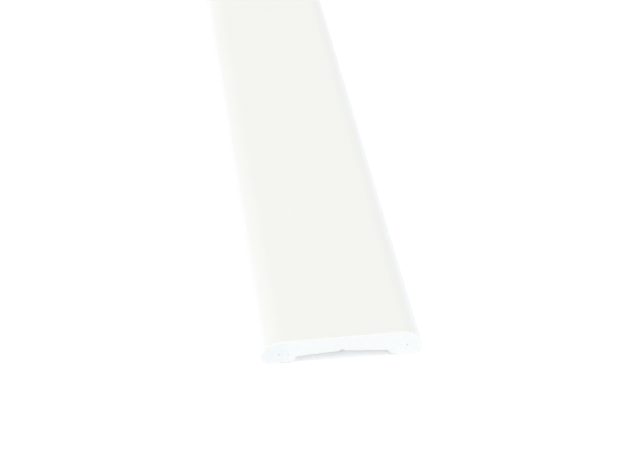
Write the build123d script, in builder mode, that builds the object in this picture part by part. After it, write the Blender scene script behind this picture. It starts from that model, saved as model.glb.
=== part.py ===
"""One length of white plastic architrave, the flat trim that frames a door or window.

It is a single extrusion of cellular PVC. The face is flat and falls slightly towards the inner edge,
both long edges are rounded, and the back is relieved so that only two feet touch the wall.

X runs across the width, with the thinner inner edge at -X. Y runs along the length, and Z points from
the wall to the room. The origin is at the middle of the back, on the plane that the feet stand on.
Sizes are in millimetres and angles in degrees.
"""

from build123d import *
from math import radians, tan
import os

# The length as it is sold, and the overall section
length = 2500.0
width = 60.0
inner_edge_thickness = 9.8
outer_edge_thickness = 10.8

# Large rounds along both edges of the face, and smaller ones where the sides meet the back
inner_round_radius = 6.4
outer_round_radius = 7.0
inner_arris_radius = 3.2
outer_arris_radius = 2.9

# Inner foot: an outer seat, then a small step to a land that stays clear of the wall
inner_foot_width = 13.3
inner_seat_width = 6.8
land_clearance = 0.5
step_run = 0.5
step_radius = 0.25
inner_heel_slope = 62.0
inner_heel_radius = 1.6

# Outer foot: one seat that runs out to the recess in a long soft heel
outer_foot_width = 13.2
outer_heel_slope = 42.0
outer_heel_radius = 6.5

# Recess between the feet: its roof rises from both sides to a groove in the middle
recess_depth_at_feet = 2.7
recess_depth_at_groove = 3.85
recess_corner_radius = 0.5
groove_width = 2.2
groove_depth = 0.8
groove_lip_radius = 0.6
groove_root_radius = 0.2

# Places that follow from those sizes
inner_side = -width / 2
outer_side = width / 2
inner_seat_end = inner_side + inner_seat_width
recess_start = inner_side + inner_foot_width
recess_end = outer_side - outer_foot_width
groove_centre = (recess_start + recess_end) / 2
groove_start = groove_centre - groove_width / 2
groove_end = groove_centre + groove_width / 2
groove_root = recess_depth_at_groove + groove_depth

# Each heel starts where the sloping side of its foot comes down to the foot's underside
inner_heel = recess_start - (recess_depth_at_feet - land_clearance) / tan(radians(inner_heel_slope))
outer_heel = recess_end + recess_depth_at_feet / tan(radians(outer_heel_slope))

# Each side keeps a narrow upright band between its round and its arris
upright_band = 0.2
inner_round = min(inner_round_radius, inner_edge_thickness - inner_arris_radius - upright_band)
outer_round = min(outer_round_radius, outer_edge_thickness - outer_arris_radius - upright_band)

# The section as its sharp corners and the radius of each, seen from the -Y end, anticlockwise
section_corners = [
    ((inner_side, 0), inner_arris_radius),
    ((inner_seat_end, 0), step_radius),
    ((inner_seat_end + step_run, land_clearance), step_radius),
    ((inner_heel, land_clearance), inner_heel_radius),
    ((recess_start, recess_depth_at_feet), recess_corner_radius),
    ((groove_start, recess_depth_at_groove), groove_lip_radius),
    ((groove_centre, groove_root), groove_root_radius),
    ((groove_end, recess_depth_at_groove), groove_lip_radius),
    ((recess_end, recess_depth_at_feet), recess_corner_radius),
    ((outer_heel, 0), outer_heel_radius),
    ((outer_side, 0), outer_arris_radius),
    ((outer_side, outer_edge_thickness), outer_round),
    ((inner_side, inner_edge_thickness), inner_round),
]
corner_points = [point for point, radius in section_corners]
corner_radii = [radius for point, radius in section_corners]

with BuildPart() as architrave:
    with BuildSketch(Plane.XZ) as section:
        with BuildLine() as outline:
            FilletPolyline(*corner_points, radius=corner_radii, close=True)
        make_face()
    extrude(amount=length / 2, both=True)

architrave.part.label = "architrave"

os.makedirs("parts", exist_ok=True)
export_step(architrave.part, "parts/architrave.step")

print(f"section {section.sketch.area:.1f} mm2, volume {architrave.part.volume / 1e6:.4f} litres")
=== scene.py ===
"""A length of white foamed plastic architrave, laid out as a Blender add-on and run as a script.

The moulding is one extrusion: a foam core under a thin dense skin, sawn square at both ends. X runs
across the width, Y along the length and Z from the wall to the room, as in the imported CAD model.
"""

import random
from collections import namedtuple
from math import ceil, cos, pi, radians, sin, tan
from types import SimpleNamespace

import bmesh
import bpy
from bpy.props import FloatProperty, FloatVectorProperty, IntProperty, PointerProperty, StringProperty
from bpy.types import Operator, Panel, PropertyGroup
from mathutils import Matrix, Vector
from mathutils.geometry import intersect_point_line


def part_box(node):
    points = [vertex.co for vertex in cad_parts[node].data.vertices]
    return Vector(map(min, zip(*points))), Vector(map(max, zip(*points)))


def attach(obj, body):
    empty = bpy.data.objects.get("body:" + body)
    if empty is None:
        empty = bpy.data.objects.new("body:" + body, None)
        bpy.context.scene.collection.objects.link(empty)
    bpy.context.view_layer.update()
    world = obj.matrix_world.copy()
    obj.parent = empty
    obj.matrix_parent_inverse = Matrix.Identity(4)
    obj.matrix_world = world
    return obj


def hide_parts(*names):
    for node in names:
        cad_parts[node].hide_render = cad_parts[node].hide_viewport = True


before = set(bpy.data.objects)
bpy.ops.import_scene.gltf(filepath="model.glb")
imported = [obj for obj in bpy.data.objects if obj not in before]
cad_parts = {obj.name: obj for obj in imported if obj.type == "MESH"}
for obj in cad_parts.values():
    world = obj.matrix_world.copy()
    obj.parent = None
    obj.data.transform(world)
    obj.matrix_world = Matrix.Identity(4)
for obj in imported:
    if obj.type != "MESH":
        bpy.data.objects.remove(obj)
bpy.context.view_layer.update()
CAD_LOW, CAD_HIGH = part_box("architrave")

bl_info = {
    "name": "Architrave",
    "version": (1, 0, 0),
    "blender": (4, 5, 0),
    "location": "3D View > Sidebar > Architrave",
    "description": "A length of foamed plastic architrave with its sawn ends, on a plain stage",
    "category": "Object",
}

MM = 0.001


# Properties

def length_property(name, description, millimetres):
    """A length that the user sees in scene units, with its default given in millimetres."""
    return FloatProperty(name=name, description=description, default=millimetres * MM, min=0.0,
                         unit="LENGTH", precision=5)


def angle_property(name, description, degrees):
    """An angle that the user sees in degrees."""
    return FloatProperty(name=name, description=description, default=radians(degrees), min=0.0,
                         max=radians(90), subtype="ANGLE")


def colour_property(name, description, hex_code):
    """An sRGB hex colour, such as #F4F5EF."""
    return StringProperty(name=name, description=description, default=hex_code, maxlen=7)


def power_property(name, description, watts):
    """The power of a lamp."""
    return FloatProperty(name=name, description=description, default=watts, min=0.0, unit="POWER")


class ArchitraveSection(PropertyGroup):
    """The section of the moulding: the CAD model's names and sizes, and the softer start of its rounds."""

    length: length_property("Length", "Length of the stock", (CAD_HIGH.y - CAD_LOW.y) / MM)
    width: length_property("Width", "Width over both long edges", (CAD_HIGH.x - CAD_LOW.x) / MM)
    inner_edge_thickness: length_property("Inner edge", "Thickness at the edge by the opening", 9.8)
    outer_edge_thickness: length_property("Outer edge", "Thickness at the edge on the wall", 10.8)
    inner_round_radius: length_property("Inner round", "Radius from the face to the inner side", 6.4)
    outer_round_radius: length_property("Outer round", "Radius from the face to the outer side", 7.0)
    inner_ease_radius: length_property("Inner ease", "Larger radius that the inner round starts with", 11.0)
    outer_ease_radius: length_property("Outer ease", "Larger radius that the outer round starts with", 8.0)
    ease_turn: angle_property("Ease turn", "Turn of the surface over each of those two radii", 35)
    inner_arris_radius: length_property("Inner arris", "Radius from the inner side to the back", 3.2)
    outer_arris_radius: length_property("Outer arris", "Radius from the outer side to the back", 2.9)
    inner_foot_width: length_property("Inner foot", "Width of the foot by the opening", 13.3)
    inner_seat_width: length_property("Inner seat", "Part of the inner foot that touches the wall", 6.8)
    land_clearance: length_property("Land clearance", "Gap under the rest of the inner foot", 0.5)
    step_run: length_property("Step run", "Width of the slope from the seat to the land", 0.5)
    step_radius: length_property("Step corners", "Radius of both corners of that slope", 0.25)
    inner_heel_slope: angle_property("Inner heel slope", "Slope of the foot's side, from the wall", 62)
    inner_heel_radius: length_property("Inner heel", "Radius at the foot of that slope", 1.6)
    outer_foot_width: length_property("Outer foot", "Width of the foot on the wall", 13.2)
    outer_heel_slope: angle_property("Outer heel slope", "Slope of the foot's side, from the wall", 42)
    outer_heel_radius: length_property("Outer heel", "Radius at the foot of that slope", 6.5)
    recess_depth_at_feet: length_property("Recess at feet", "Depth of the recess beside the feet", 2.7)
    recess_depth_at_groove: length_property("Recess at groove", "Depth of the recess in the middle", 3.85)
    recess_corner_radius: length_property("Recess corners", "Radius in the recess's upper corners", 0.5)
    groove_width: length_property("Groove width", "Width of the groove in the recess", 2.2)
    groove_depth: length_property("Groove depth", "Depth of that groove", 0.8)
    groove_lip_radius: length_property("Groove lips", "Radius of the groove's edges", 0.6)
    groove_root_radius: length_property("Groove root", "Radius at the bottom of the groove", 0.2)


class ArchitraveEnds(PropertyGroup):
    """The two sawn ends, where the foam core shows inside the dense skin."""

    arris: length_property("Arris", "Chamfer where the saw broke the skin's edge", 0.05)
    skin: length_property("Skin", "Thickness of the dense skin round the core", 1.0)
    cell_radius: length_property("Cell radius", "Radius of the largest of the fine open cells", 0.19)
    cells: IntProperty(name="Cells", description="Fine open cells at each end", default=260, min=0, max=600)
    seed: IntProperty(name="Seed", description="Start of the random places of the cells", default=11)


class ArchitraveColours(PropertyGroup):
    """The colours of the plastic, as sRGB hex codes, and how glossy it is."""

    face: colour_property("Face", "Extruded skin", "#F5F6EF")
    patch: colour_property("Patches", "Slightly greyer patches of that skin", "#F3F4ED")
    rim: colour_property("Rim", "Sawn edge of the skin", "#F9FAF6")
    foam: colour_property("Foam", "Sawn foam core", "#F8FBF9")
    inner_foam: colour_property("Inner foam", "Sawn foam core in the inner foot", "#F4F8F7")
    gloss: FloatProperty(name="Roughness", description="Roughness of the extruded skin", default=0.42,
                         min=0.0, max=1.0, subtype="FACTOR")


class ArchitraveStage(PropertyGroup):
    """The camera, the lamps and the floor."""

    camera_at: FloatVectorProperty(name="Camera", description="Place of the camera", subtype="XYZ",
                                   unit="LENGTH", default=(-0.06783, -1.74138, 0.36272))
    camera_aim: FloatVectorProperty(name="Aim", description="Point on the floor in the middle of the view",
                                    subtype="XYZ", unit="LENGTH", default=(0.00339, -1.15641, 0.0))
    lens: FloatProperty(name="Lens", description="Focal length on a sensor 36 mm wide", default=93.94,
                        min=1.0, unit="CAMERA")
    sky_colour: colour_property("Sky colour", "Colour of the even light from all round", "#FEFFF6")
    sky: FloatProperty(name="Sky", description="Strength of that light", default=0.775, min=0.0)
    key: power_property("Key", "Power of the large lamp far off on the inner side", 220.0)
    front: power_property("Front", "Power of the small lamp high up behind the camera", 103.0)
    side: power_property("Side", "Power of the low lamp on the outer side", 43.0)
    floor_colour: colour_property("Floor colour", "Colour of the paper on the floor", "#F0F3F8")
    floor_glow: FloatProperty(name="Floor glow", default=0.36, min=0.0,
                              description="White that the camera sees on the floor besides the light that "
                                          "falls on it, which leaves only the darkest shadow")
    floor_radius: length_property("Floor radius", "Radius of the floor", 60000)


def in_millimetres(settings):
    """The numbers of a property group by name, with the lengths in millimetres."""
    numbers = {}
    for name, prop in settings.bl_rna.properties.items():
        if prop.type in {"FLOAT", "INT"}:
            value = getattr(settings, name)
            numbers[name] = value / MM if prop.unit == "LENGTH" else value
    return SimpleNamespace(**numbers)


# The moulding, drawn in millimetres and scaled down at the end: the fill joins points 0.03 units apart

# Material slots of the sawn ends, after that of the extruded skin, which is 0
RIM, FOAM = 1, 2
DEGREES_PER_SEGMENT = 6.0
SHARP_DEGREES = 25

# An open cell: its middle, its half width, its height over its width, and its depth
Cell = namedtuple("Cell", "middle radius oval depth")
CELL_SIDES = 8
CELL_SPACE = 0.12
# The narrowest and the tallest of the fine cells
CELL_OVALS = (0.75, 1.3)
# The smallest fine cell as a share of the largest at the same place
SMALLEST_CELL = 0.4
# The size of the fine cells at the skin as a share of full size, and how far in they gain a whole size
SIZE_AT_SKIN = 0.35
GROWTH_DEPTH = 6
# A cell is pushed in twice: the share of its radius by which it narrows, and of its depth by which it sinks
BOWL_STEPS = ((0.12, 0.7), (0.38, 0.3))

# The open cells that can be picked out at the near end, each with its middle as X and Z
NEAR_CELLS = [
    Cell((24.2, 4.5), 0.36, 1.1, 0.6),
    Cell((22.1, 4.0), 0.75, 1.2, 0.3),
    Cell((-22.95, 4.2), 0.60, 1.0, 0.55),
    Cell((-21.9, 3.2), 0.42, 0.9, 0.33),
    Cell((-19.8, 3.8), 0.35, 1.6, 0.3),
]


def eased_round(round_radius, ease_radius, turn):
    """A round that comes down as far as one of round_radius but starts with ease_radius at the face.

    It is drawn as two sharp corners, one on the face and one on the side. Returns the radius of the corner
    on the side, how far in from the side the other is, and how far down from the face this one is.
    """
    lower_radius = (round_radius - ease_radius * (1 - cos(turn))) / cos(turn)
    apart = ease_radius * tan(turn / 2) + lower_radius * tan((pi / 2 - turn) / 2)
    return lower_radius, apart * cos(turn), apart * sin(turn)


def section_corners(size):
    """The section's sharp corners and the radius of each, anticlockwise seen from the near end."""
    inner_side, outer_side = -size.width / 2, size.width / 2
    inner_top, outer_top = size.inner_edge_thickness, size.outer_edge_thickness
    face_slope = (outer_top - inner_top) / size.width
    inner_lower, inner_in, inner_down = eased_round(
        size.inner_round_radius, size.inner_ease_radius, size.ease_turn)
    outer_lower, outer_in, outer_down = eased_round(
        size.outer_round_radius, size.outer_ease_radius, size.ease_turn)
    seat_end = inner_side + size.inner_seat_width
    recess_start = inner_side + size.inner_foot_width
    recess_end = outer_side - size.outer_foot_width
    groove_centre = (recess_start + recess_end) / 2
    half_groove = size.groove_width / 2
    groove_root = size.recess_depth_at_groove + size.groove_depth
    inner_heel = recess_start - (size.recess_depth_at_feet - size.land_clearance) / tan(size.inner_heel_slope)
    outer_heel = recess_end + size.recess_depth_at_feet / tan(size.outer_heel_slope)
    return [
        ((inner_side, 0), size.inner_arris_radius),
        ((seat_end, 0), size.step_radius),
        ((seat_end + size.step_run, size.land_clearance), size.step_radius),
        ((inner_heel, size.land_clearance), size.inner_heel_radius),
        ((recess_start, size.recess_depth_at_feet), size.recess_corner_radius),
        ((groove_centre - half_groove, size.recess_depth_at_groove), size.groove_lip_radius),
        ((groove_centre, groove_root), size.groove_root_radius),
        ((groove_centre + half_groove, size.recess_depth_at_groove), size.groove_lip_radius),
        ((recess_end, size.recess_depth_at_feet), size.recess_corner_radius),
        ((outer_heel, 0), size.outer_heel_radius),
        ((outer_side, 0), size.outer_arris_radius),
        ((outer_side, outer_top - outer_down), outer_lower),
        ((outer_side - outer_in, outer_top - outer_in * face_slope), size.outer_ease_radius),
        ((inner_side + inner_in, inner_top + inner_in * face_slope), size.inner_ease_radius),
        ((inner_side, inner_top - inner_down), inner_lower),
    ]


def section_face(bm, corners, y, inset=0.0):
    """The section as one flat face at y, with its outline moved in by inset and its corners rounded."""
    points = [bm.verts.new((x, y, z)) for (x, z), _ in corners]
    face = bm.faces.new(points)
    face.normal_update()
    if inset:
        band = bmesh.ops.inset_region(bm, faces=[face], thickness=inset, use_boundary=True,
                                      use_even_offset=True)
        bmesh.ops.delete(bm, geom=band["faces"], context="FACES")
        points = [loop.vert for loop in face.loops]
    places = [point.co.copy() for point in points]
    for i, (point, (_, radius)) in enumerate(zip(points, corners)):
        arriving = places[i] - places[i - 1]
        leaving = places[(i + 1) % len(places)] - places[i]
        turn = arriving.angle(leaving)
        # Further in, a corner that bulges has a smaller radius and a hollow one a larger
        bulges = arriving.cross(leaving).y < 0
        radius = radius - inset if bulges else radius + inset
        if radius > 0:
            segments = ceil(turn / radians(DEGREES_PER_SEGMENT))
            rounded = bmesh.ops.bevel(bm, geom=[point], affect="VERTICES", offset=radius * tan(turn / 2),
                                      offset_type="OFFSET", segments=segments, profile=0.5, material=-1)
            point = rounded["verts"][0]
    return point.link_faces[0]


def clearance(point, edges):
    """The distance from a point to the nearest of some edges."""
    nearest = float("inf")
    for edge in edges:
        start, end = (vert.co for vert in edge.verts)
        share = intersect_point_line(point, start, end)[1]
        closest = start.lerp(end, min(max(share, 0.0), 1.0))
        nearest = min(nearest, (point - closest).length)
    return nearest


def choose_cells(core, placed, count, largest, seed):
    """The open cells of one end: the placed ones, then count fine ones clear of them and of each other."""
    draw = random.Random(seed)
    y = core.verts[0].co.y
    cells = [cell._replace(middle=Vector((cell.middle[0], y, cell.middle[1]))) for cell in placed]
    low = Vector([min(vert.co[axis] for vert in core.verts) for axis in range(3)])
    high = Vector([max(vert.co[axis] for vert in core.verts) for axis in range(3)])
    while len(cells) < count + len(placed):
        middle = Vector((draw.uniform(low.x, high.x), y, draw.uniform(low.z, high.z)))
        if not bmesh.geometry.intersect_face_point(core, middle):
            continue
        # The foam cooled last deep inside the thick feet, so its cells are larger there
        inside = clearance(middle, core.edges)
        radius = largest * draw.uniform(SMALLEST_CELL, 1.0) * min(1.0, SIZE_AT_SKIN + inside / GROWTH_DEPTH)
        apart = all((middle - cell.middle).length > radius + cell.radius * max(1, cell.oval) + CELL_SPACE
                    for cell in cells)
        if inside > radius * max(CELL_OVALS) + CELL_SPACE and apart:
            cells.append(Cell(middle, radius, draw.uniform(*CELL_OVALS), depth=radius))
    return cells


def saw_end(bm, end, corners, ends, placed, seed):
    """Turns a flat end face into the sawn rim of the skin round a core with open cells.

    Returns the mouth of each cell, still flat, with the cell.
    """
    outward = end.normal.copy()
    bmesh.ops.inset_region(bm, faces=[end], thickness=ends.arris, depth=ends.arris, use_boundary=True,
                           use_even_offset=True)
    y = end.verts[0].co.y
    rim_edges = list(end.edges)
    bmesh.ops.delete(bm, geom=[end], context="FACES_ONLY")
    core = section_face(bm, corners, y, inset=ends.skin)
    core_edges = list(core.edges)
    cells = choose_cells(core, placed, ends.cells, ends.cell_radius, seed)
    bmesh.ops.delete(bm, geom=[core], context="FACES_ONLY")

    mouths = []
    for cell in cells:
        shape = (Matrix.Translation(cell.middle) @ Matrix.Rotation(pi / 2, 4, "X")
                 @ Matrix.Diagonal((1, cell.oval, 1, 1)))
        circle = bmesh.ops.create_circle(bm, cap_ends=True, segments=CELL_SIDES, radius=cell.radius,
                                         matrix=shape)
        mouth = circle["verts"][0].link_faces[0]
        mouth.material_index = FOAM
        mouths.append(mouth)
    mouth_edges = [edge for mouth in mouths for edge in mouth.edges]
    for edges, material in ((rim_edges + core_edges, RIM), (core_edges + mouth_edges, FOAM)):
        filled = bmesh.ops.triangle_fill(bm, edges=edges, normal=outward, use_beauty=True)
        for item in filled["geom"]:
            if isinstance(item, bmesh.types.BMFace):
                item.material_index = material
    return list(zip(mouths, cells))


def hollow_cell(bm, mouth, cell):
    """Pushes the mouth of a cell in, to a small bowl."""
    for narrowing, sinking in BOWL_STEPS:
        bmesh.ops.inset_individual(bm, faces=[mouth], thickness=cell.radius * narrowing,
                                   depth=-cell.depth * sinking, use_even_offset=True)


def moulding_mesh(section, ends):
    """The whole extrusion as one closed mesh, in metres."""
    size = in_millimetres(section)
    fine = in_millimetres(ends)
    corners = section_corners(size)
    bm = bmesh.new()
    near = section_face(bm, corners, -size.length / 2 + fine.arris)
    extruded = bmesh.ops.extrude_face_region(bm, geom=[near], use_keep_orig=True)
    far = next(item for item in extruded["geom"] if isinstance(item, bmesh.types.BMFace))
    bmesh.ops.translate(bm, verts=far.verts, vec=(0, size.length - 2 * fine.arris, 0))
    bmesh.ops.recalc_face_normals(bm, faces=bm.faces)

    mouths = saw_end(bm, near, corners, fine, NEAR_CELLS, fine.seed)
    mouths += saw_end(bm, far, corners, fine, [], fine.seed + 1)
    bmesh.ops.recalc_face_normals(bm, faces=bm.faces)
    for mouth, cell in mouths:
        hollow_cell(bm, mouth, cell)

    # The extrusion's faces come in another order each run, so they are sorted by their first two points
    bm.verts.index_update()
    bm.faces.sort(key=lambda face: face.verts[0].index * len(bm.verts) + face.verts[1].index)
    bmesh.ops.scale(bm, verts=bm.verts, vec=(MM, MM, MM))
    for face in bm.faces:
        face.smooth = True
    mesh = bpy.data.meshes.new("architrave_moulding")
    bm.to_mesh(mesh)
    bm.free()
    mesh.set_sharp_from_angle(angle=radians(SHARP_DEGREES))
    return mesh


# Finishes

def linear(hex_code):
    """The linear RGBA that a shader takes, from an sRGB hex colour."""
    channels = [int(hex_code[i:i + 2], 16) / 255 for i in (1, 3, 5)]
    return [c / 12.92 if c <= 0.04045 else ((c + 0.055) / 1.055) ** 2.4 for c in channels] + [1.0]


def add_node(tree, kind, settings=None, inputs=None):
    """Adds a node, sets what settings names, and gives each named input its value or its link."""
    node = tree.nodes.new(kind)
    for name, value in (settings or {}).items():
        setattr(node, name, value)
    for name, value in (inputs or {}).items():
        if isinstance(value, bpy.types.NodeSocket):
            tree.links.new(value, node.inputs[name])
        else:
            node.inputs[name].default_value = value
    return node


def blend(tree, factor, low, high):
    """A colour that goes from one hex code to another as the factor goes from 0 to 1."""
    # A colour mix is the Mix node's third kind, so its sockets are found by their places
    mix = add_node(tree, "ShaderNodeMix", {"data_type": "RGBA"}, {0: factor, 6: linear(low), 7: linear(high)})
    return mix.outputs[2]


def new_material(name):
    """An empty material with its node tree."""
    material = bpy.data.materials.new(name)
    material.use_nodes = True
    material.node_tree.nodes.clear()
    return material, material.node_tree


PVC_IOR = 1.53

# The spacing of the lines, waves, marks and grain in the finishes
DIE_LINE_SPACING = 1.5 * MM
WAVE_LENGTH = 35 * MM
SAW_MARK_SPACING = 0.7 * MM
FOAM_GRAIN = 0.35 * MM

# How much the roughness of the skin goes up and down across the die's lines
GLOSS_SPREAD = 0.06

# Where across the width the sawn end's greyer tone in the inner foot starts to pale, and where it has
FOOT_TONE_START = -22 * MM
FOOT_TONE_END = -18 * MM


def extruded_skin(colours):
    """Rigid PVC drawn through a die and a cooling sleeve: satin, with faint lines along the length."""
    material, tree = new_material("Extruded PVC skin")
    place = add_node(tree, "ShaderNodeTexCoord").outputs["Object"]
    # The die leaves lines that run on for a metre and are a few microns deep
    along = add_node(tree, "ShaderNodeMapping", inputs={
        "Vector": place, "Scale": (1.0, DIE_LINE_SPACING, 1.0)})
    lines = add_node(tree, "ShaderNodeTexNoise", inputs={
        "Vector": along.outputs["Vector"], "Scale": 1 / DIE_LINE_SPACING, "Detail": 3.0, "Roughness": 0.6})
    # The cooling sleeve leaves soft waves
    waves = add_node(tree, "ShaderNodeTexNoise", inputs={
        "Vector": place, "Scale": 1 / WAVE_LENGTH, "Detail": 1.0, "Roughness": 0.4})
    line_bump = add_node(tree, "ShaderNodeBump", inputs={
        "Height": lines.outputs["Fac"], "Strength": 0.5, "Distance": 0.006 * MM})
    bump = add_node(tree, "ShaderNodeBump", inputs={
        "Height": waves.outputs["Fac"], "Strength": 0.6, "Distance": 0.10 * MM,
        "Normal": line_bump.outputs["Normal"]})
    # The compound isn't quite even: patches as long as the waves are a trace greyer
    tone = blend(tree, waves.outputs["Fac"], colours.face, colours.patch)
    rough = add_node(tree, "ShaderNodeMapRange", inputs={
        "Value": lines.outputs["Fac"], "To Min": colours.gloss - GLOSS_SPREAD,
        "To Max": colours.gloss + GLOSS_SPREAD})
    shader = add_node(tree, "ShaderNodeBsdfPrincipled", inputs={
        "Base Color": tone, "Roughness": rough.outputs["Result"], "IOR": PVC_IOR,
        "Normal": bump.outputs["Normal"]})
    add_node(tree, "ShaderNodeOutputMaterial", inputs={"Surface": shader.outputs["BSDF"]})
    return material


def sawn_skin(colours):
    """The dense skin where the saw cut through it: even and a little shiny, with fine marks of the teeth."""
    material, tree = new_material("Sawn PVC skin")
    place = add_node(tree, "ShaderNodeTexCoord").outputs["Object"]
    # The teeth leave upright marks, some 12 mm long
    upright = add_node(tree, "ShaderNodeMapping", inputs={"Vector": place, "Scale": (1.0, 1.0, 0.06)})
    marks = add_node(tree, "ShaderNodeTexNoise", inputs={
        "Vector": upright.outputs["Vector"], "Scale": 1 / SAW_MARK_SPACING, "Detail": 2.0})
    bump = add_node(tree, "ShaderNodeBump", inputs={
        "Height": marks.outputs["Fac"], "Strength": 0.5, "Distance": 0.02 * MM})
    shader = add_node(tree, "ShaderNodeBsdfPrincipled", inputs={
        "Base Color": linear(colours.rim), "Roughness": 0.55, "IOR": PVC_IOR,
        "Normal": bump.outputs["Normal"]})
    add_node(tree, "ShaderNodeOutputMaterial", inputs={"Surface": shader.outputs["BSDF"]})
    return material


def sawn_foam(colours):
    """The foam core where the saw opened its cells: dead matt, a cool white, grainy like fine sugar."""
    material, tree = new_material("Sawn PVC foam")
    place = add_node(tree, "ShaderNodeTexCoord").outputs["Object"]
    # The sawn end is a trace greyer across the inner foot
    across = add_node(tree, "ShaderNodeSeparateXYZ", inputs={"Vector": place})
    from_foot = add_node(tree, "ShaderNodeMapRange", inputs={
        "Value": across.outputs["X"], "From Min": FOOT_TONE_START, "From Max": FOOT_TONE_END})
    tone = blend(tree, from_foot.outputs["Result"], colours.inner_foam, colours.foam)
    # The finest cells are 0.1 to 0.2 mm across, drawn at 0.35 mm so that they show
    grain = add_node(tree, "ShaderNodeTexVoronoi", inputs={"Vector": place, "Scale": 1 / FOAM_GRAIN})
    bump = add_node(tree, "ShaderNodeBump", inputs={
        "Height": grain.outputs["Distance"], "Strength": 0.5, "Distance": 0.05 * MM})
    shader = add_node(tree, "ShaderNodeBsdfPrincipled", inputs={
        "Base Color": tone, "Roughness": 0.9, "IOR": PVC_IOR, "Normal": bump.outputs["Normal"]})
    add_node(tree, "ShaderNodeOutputMaterial", inputs={"Surface": shader.outputs["BSDF"]})
    return material


# Operators

class ARCHITRAVE_OT_moulding(Operator):
    """Make the moulding with its sawn ends and its finishes"""

    bl_idname = "architrave.moulding"
    bl_label = "Make moulding"

    def execute(self, context):
        scene = context.scene
        mesh = moulding_mesh(scene.architrave_section, scene.architrave_ends)
        for finish in (extruded_skin, sawn_skin, sawn_foam):
            mesh.materials.append(finish(scene.architrave_colours))
        moulding = bpy.data.objects.new("architrave_moulding", mesh)
        scene.collection.objects.link(moulding)
        # Wide flat faces keep their own normals beside the narrow strips of the rounds
        even = moulding.modifiers.new("Even normals", "WEIGHTED_NORMAL")
        even.keep_sharp = True
        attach(moulding, "root")
        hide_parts("architrave")
        return {"FINISHED"}


FLOOR_SIDES = 64
SENSOR_WIDTH = 36.0
# How far the camera sees, in metres
VIEW_REACH = 200.0

# Each lamp: the setting with its power, its colour, its size, and its place from the near end, in metres
LAMPS = [
    ("key", "#D4D1FF", 4.0, (-7.0, -0.6, 2.6)),
    ("front", "#FFF7EF", 1.0, (0.6, -5.9, 4.6)),
    ("side", "#A6ABFF", 2.0, (3.8, -0.3, 1.15)),
]


def seen_directly(tree):
    """1 for what the camera, a reflection or a see-through surface shows, and 0 for light that falls."""
    path = add_node(tree, "ShaderNodeLightPath")
    seen = path.outputs["Is Camera Ray"]
    for ray in ("Is Glossy Ray", "Is Transmission Ray"):
        either = add_node(tree, "ShaderNodeMath", {"operation": "MAXIMUM"}, {0: seen, 1: path.outputs[ray]})
        seen = either.outputs["Value"]
    return seen


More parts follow.
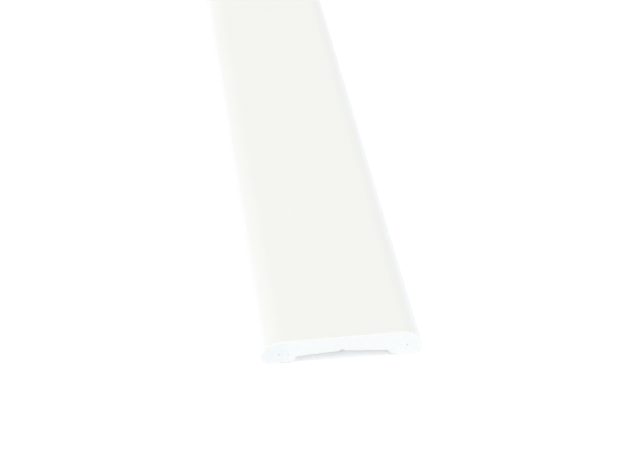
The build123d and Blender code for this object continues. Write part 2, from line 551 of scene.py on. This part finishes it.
class ARCHITRAVE_OT_stage(Operator):
    """Set the floor, the light and the camera"""

    bl_idname = "architrave.stage"
    bl_label = "Set stage"

    def execute(self, context):
        scene = context.scene
        stage = scene.architrave_stage
        self.lay_floor(scene, stage)
        self.hang_lights(scene, stage)
        self.stand_camera(scene, stage)
        scene.view_settings.view_transform = "Standard"
        return {"FINISHED"}

    def lay_floor(self, scene, stage):
        """Lay the white paper, which shows white with the shadow of the moulding on it"""
        bm = bmesh.new()
        bmesh.ops.create_circle(bm, cap_ends=True, segments=FLOOR_SIDES, radius=stage.floor_radius)
        mesh = bpy.data.meshes.new("floor")
        bm.to_mesh(mesh)
        bm.free()
        material, tree = new_material("White paper floor")
        lit = add_node(tree, "ShaderNodeBsdfDiffuse", inputs={"Color": linear(stage.floor_colour)})
        shown = add_node(tree, "ShaderNodeMath", {"operation": "MULTIPLY"}, {
            0: seen_directly(tree), 1: stage.floor_glow})
        glow = add_node(tree, "ShaderNodeEmission", inputs={"Strength": shown.outputs["Value"]})
        both = add_node(tree, "ShaderNodeAddShader", inputs={
            0: lit.outputs["BSDF"], 1: glow.outputs["Emission"]})
        add_node(tree, "ShaderNodeOutputMaterial", inputs={"Surface": both.outputs["Shader"]})
        mesh.materials.append(material)
        floor = bpy.data.objects.new("floor", mesh)
        scene.collection.objects.link(floor)

    def hang_lights(self, scene, stage):
        """Light the sky evenly but show it white, and hang the lamps, which no reflection shows"""
        world = bpy.data.worlds.new("Even light")
        world.use_nodes = True
        tree = world.node_tree
        tree.nodes.clear()
        lit = add_node(tree, "ShaderNodeBackground", inputs={
            "Color": linear(stage.sky_colour), "Strength": stage.sky})
        white = add_node(tree, "ShaderNodeBackground", inputs={
            "Color": (1.0, 1.0, 1.0, 1.0), "Strength": 1.0})
        both = add_node(tree, "ShaderNodeMixShader", inputs={
            0: seen_directly(tree), 1: lit.outputs["Background"], 2: white.outputs["Background"]})
        add_node(tree, "ShaderNodeOutputWorld", inputs={"Surface": both.outputs["Shader"]})
        scene.world = world

        near_end = Vector((0, CAD_LOW.y, 0))
        for name, colour, size, place in LAMPS:
            light = bpy.data.lights.new(name, "AREA")
            light.energy = getattr(stage, name)
            light.color = linear(colour)[:3]
            light.size = size
            lamp = bpy.data.objects.new(name, light)
            lamp.location = near_end + Vector(place)
            lamp.rotation_euler = (near_end - lamp.location).to_track_quat("-Z", "Y").to_euler()
            lamp.visible_camera = lamp.visible_glossy = False
            scene.collection.objects.link(lamp)

    def stand_camera(self, scene, stage):
        """Stand the camera where the photograph was taken from"""
        view = bpy.data.cameras.new("camera")
        view.lens = stage.lens
        view.sensor_width = SENSOR_WIDTH
        view.clip_end = VIEW_REACH
        camera = bpy.data.objects.new("camera", view)
        camera.location = stage.camera_at
        aim = Vector(stage.camera_aim) - Vector(stage.camera_at)
        camera.rotation_euler = aim.to_track_quat("-Z", "Y").to_euler()
        scene.collection.objects.link(camera)
        scene.camera = camera


class ARCHITRAVE_PT_sidebar(Panel):
    """Sizes, colours and stage of the architrave"""

    bl_idname = "ARCHITRAVE_PT_sidebar"
    bl_label = "Architrave"
    bl_space_type = "VIEW_3D"
    bl_region_type = "UI"
    bl_category = "Architrave"

    def draw(self, context):
        for name in GROUPS:
            settings = getattr(context.scene, name)
            box = self.layout.box()
            for prop in settings.__annotations__:
                box.prop(settings, prop)
        for operator in OPERATORS:
            self.layout.operator(operator.bl_idname)


GROUPS = {
    "architrave_section": ArchitraveSection,
    "architrave_ends": ArchitraveEnds,
    "architrave_colours": ArchitraveColours,
    "architrave_stage": ArchitraveStage,
}
OPERATORS = (ARCHITRAVE_OT_moulding, ARCHITRAVE_OT_stage)


def register():
    for cls in (*GROUPS.values(), *OPERATORS, ARCHITRAVE_PT_sidebar):
        bpy.utils.register_class(cls)
    for name, group in GROUPS.items():
        setattr(bpy.types.Scene, name, PointerProperty(type=group))


def unregister():
    for name in GROUPS:
        delattr(bpy.types.Scene, name)
    for cls in reversed((*GROUPS.values(), *OPERATORS, ARCHITRAVE_PT_sidebar)):
        bpy.utils.unregister_class(cls)


def main():
    register()
    bpy.ops.architrave.moulding()
    bpy.ops.architrave.stage()


if __name__ == "__main__":
    main()
